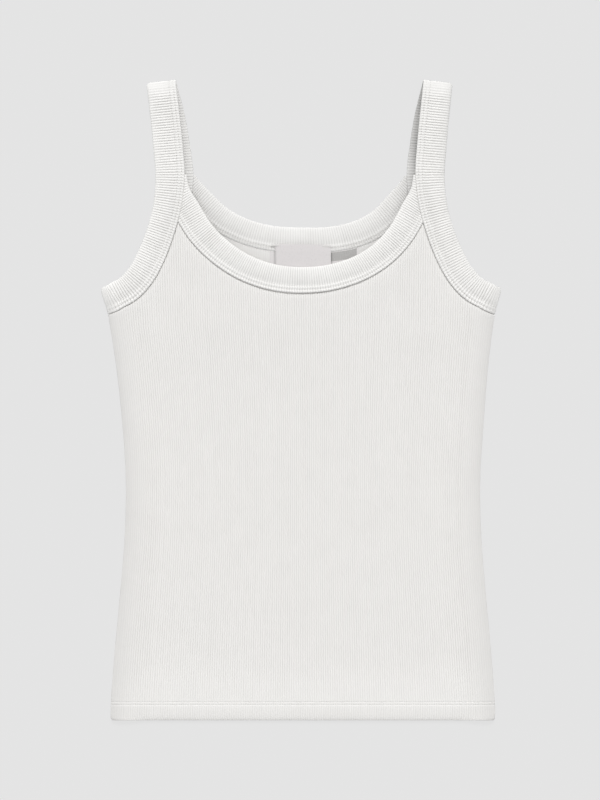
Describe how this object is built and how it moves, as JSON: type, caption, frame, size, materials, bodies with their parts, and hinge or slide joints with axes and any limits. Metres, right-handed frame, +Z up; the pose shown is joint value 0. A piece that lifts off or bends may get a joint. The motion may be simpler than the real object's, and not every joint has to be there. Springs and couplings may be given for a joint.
{
  "type": "ribbed tank top",
  "caption": "Sleeveless scoop-neck top in rib-knit cotton with bound neck and armholes that run on as shoulder straps, laid flat with its front up.",
  "frame": {"origin": "centre of the garment outline, on the surface that it lies on", "axes": "+Y from the hem to the straps, +Z up out of the front of the garment, +X to the right as seen from above"},
  "size_m": [0.3646, 0.582, 0.0058],
  "materials": {
    "body_rib": "matt white cotton rib knit",
    "binding_rib": "matt white cotton rib knit, folded double",
    "label_tape": "smooth woven satin tape"
  },
  "bodies": {
    "root": {"front_panel": "body_rib", "back_panel": "body_rib", "neck_binding_front": "binding_rib", "neck_binding_back": "binding_rib", "armhole_binding_left": "binding_rib", "armhole_binding_right": "binding_rib", "neck_label": "label_tape", "under_label": "label_tape"}
  },
  "joints": []
}
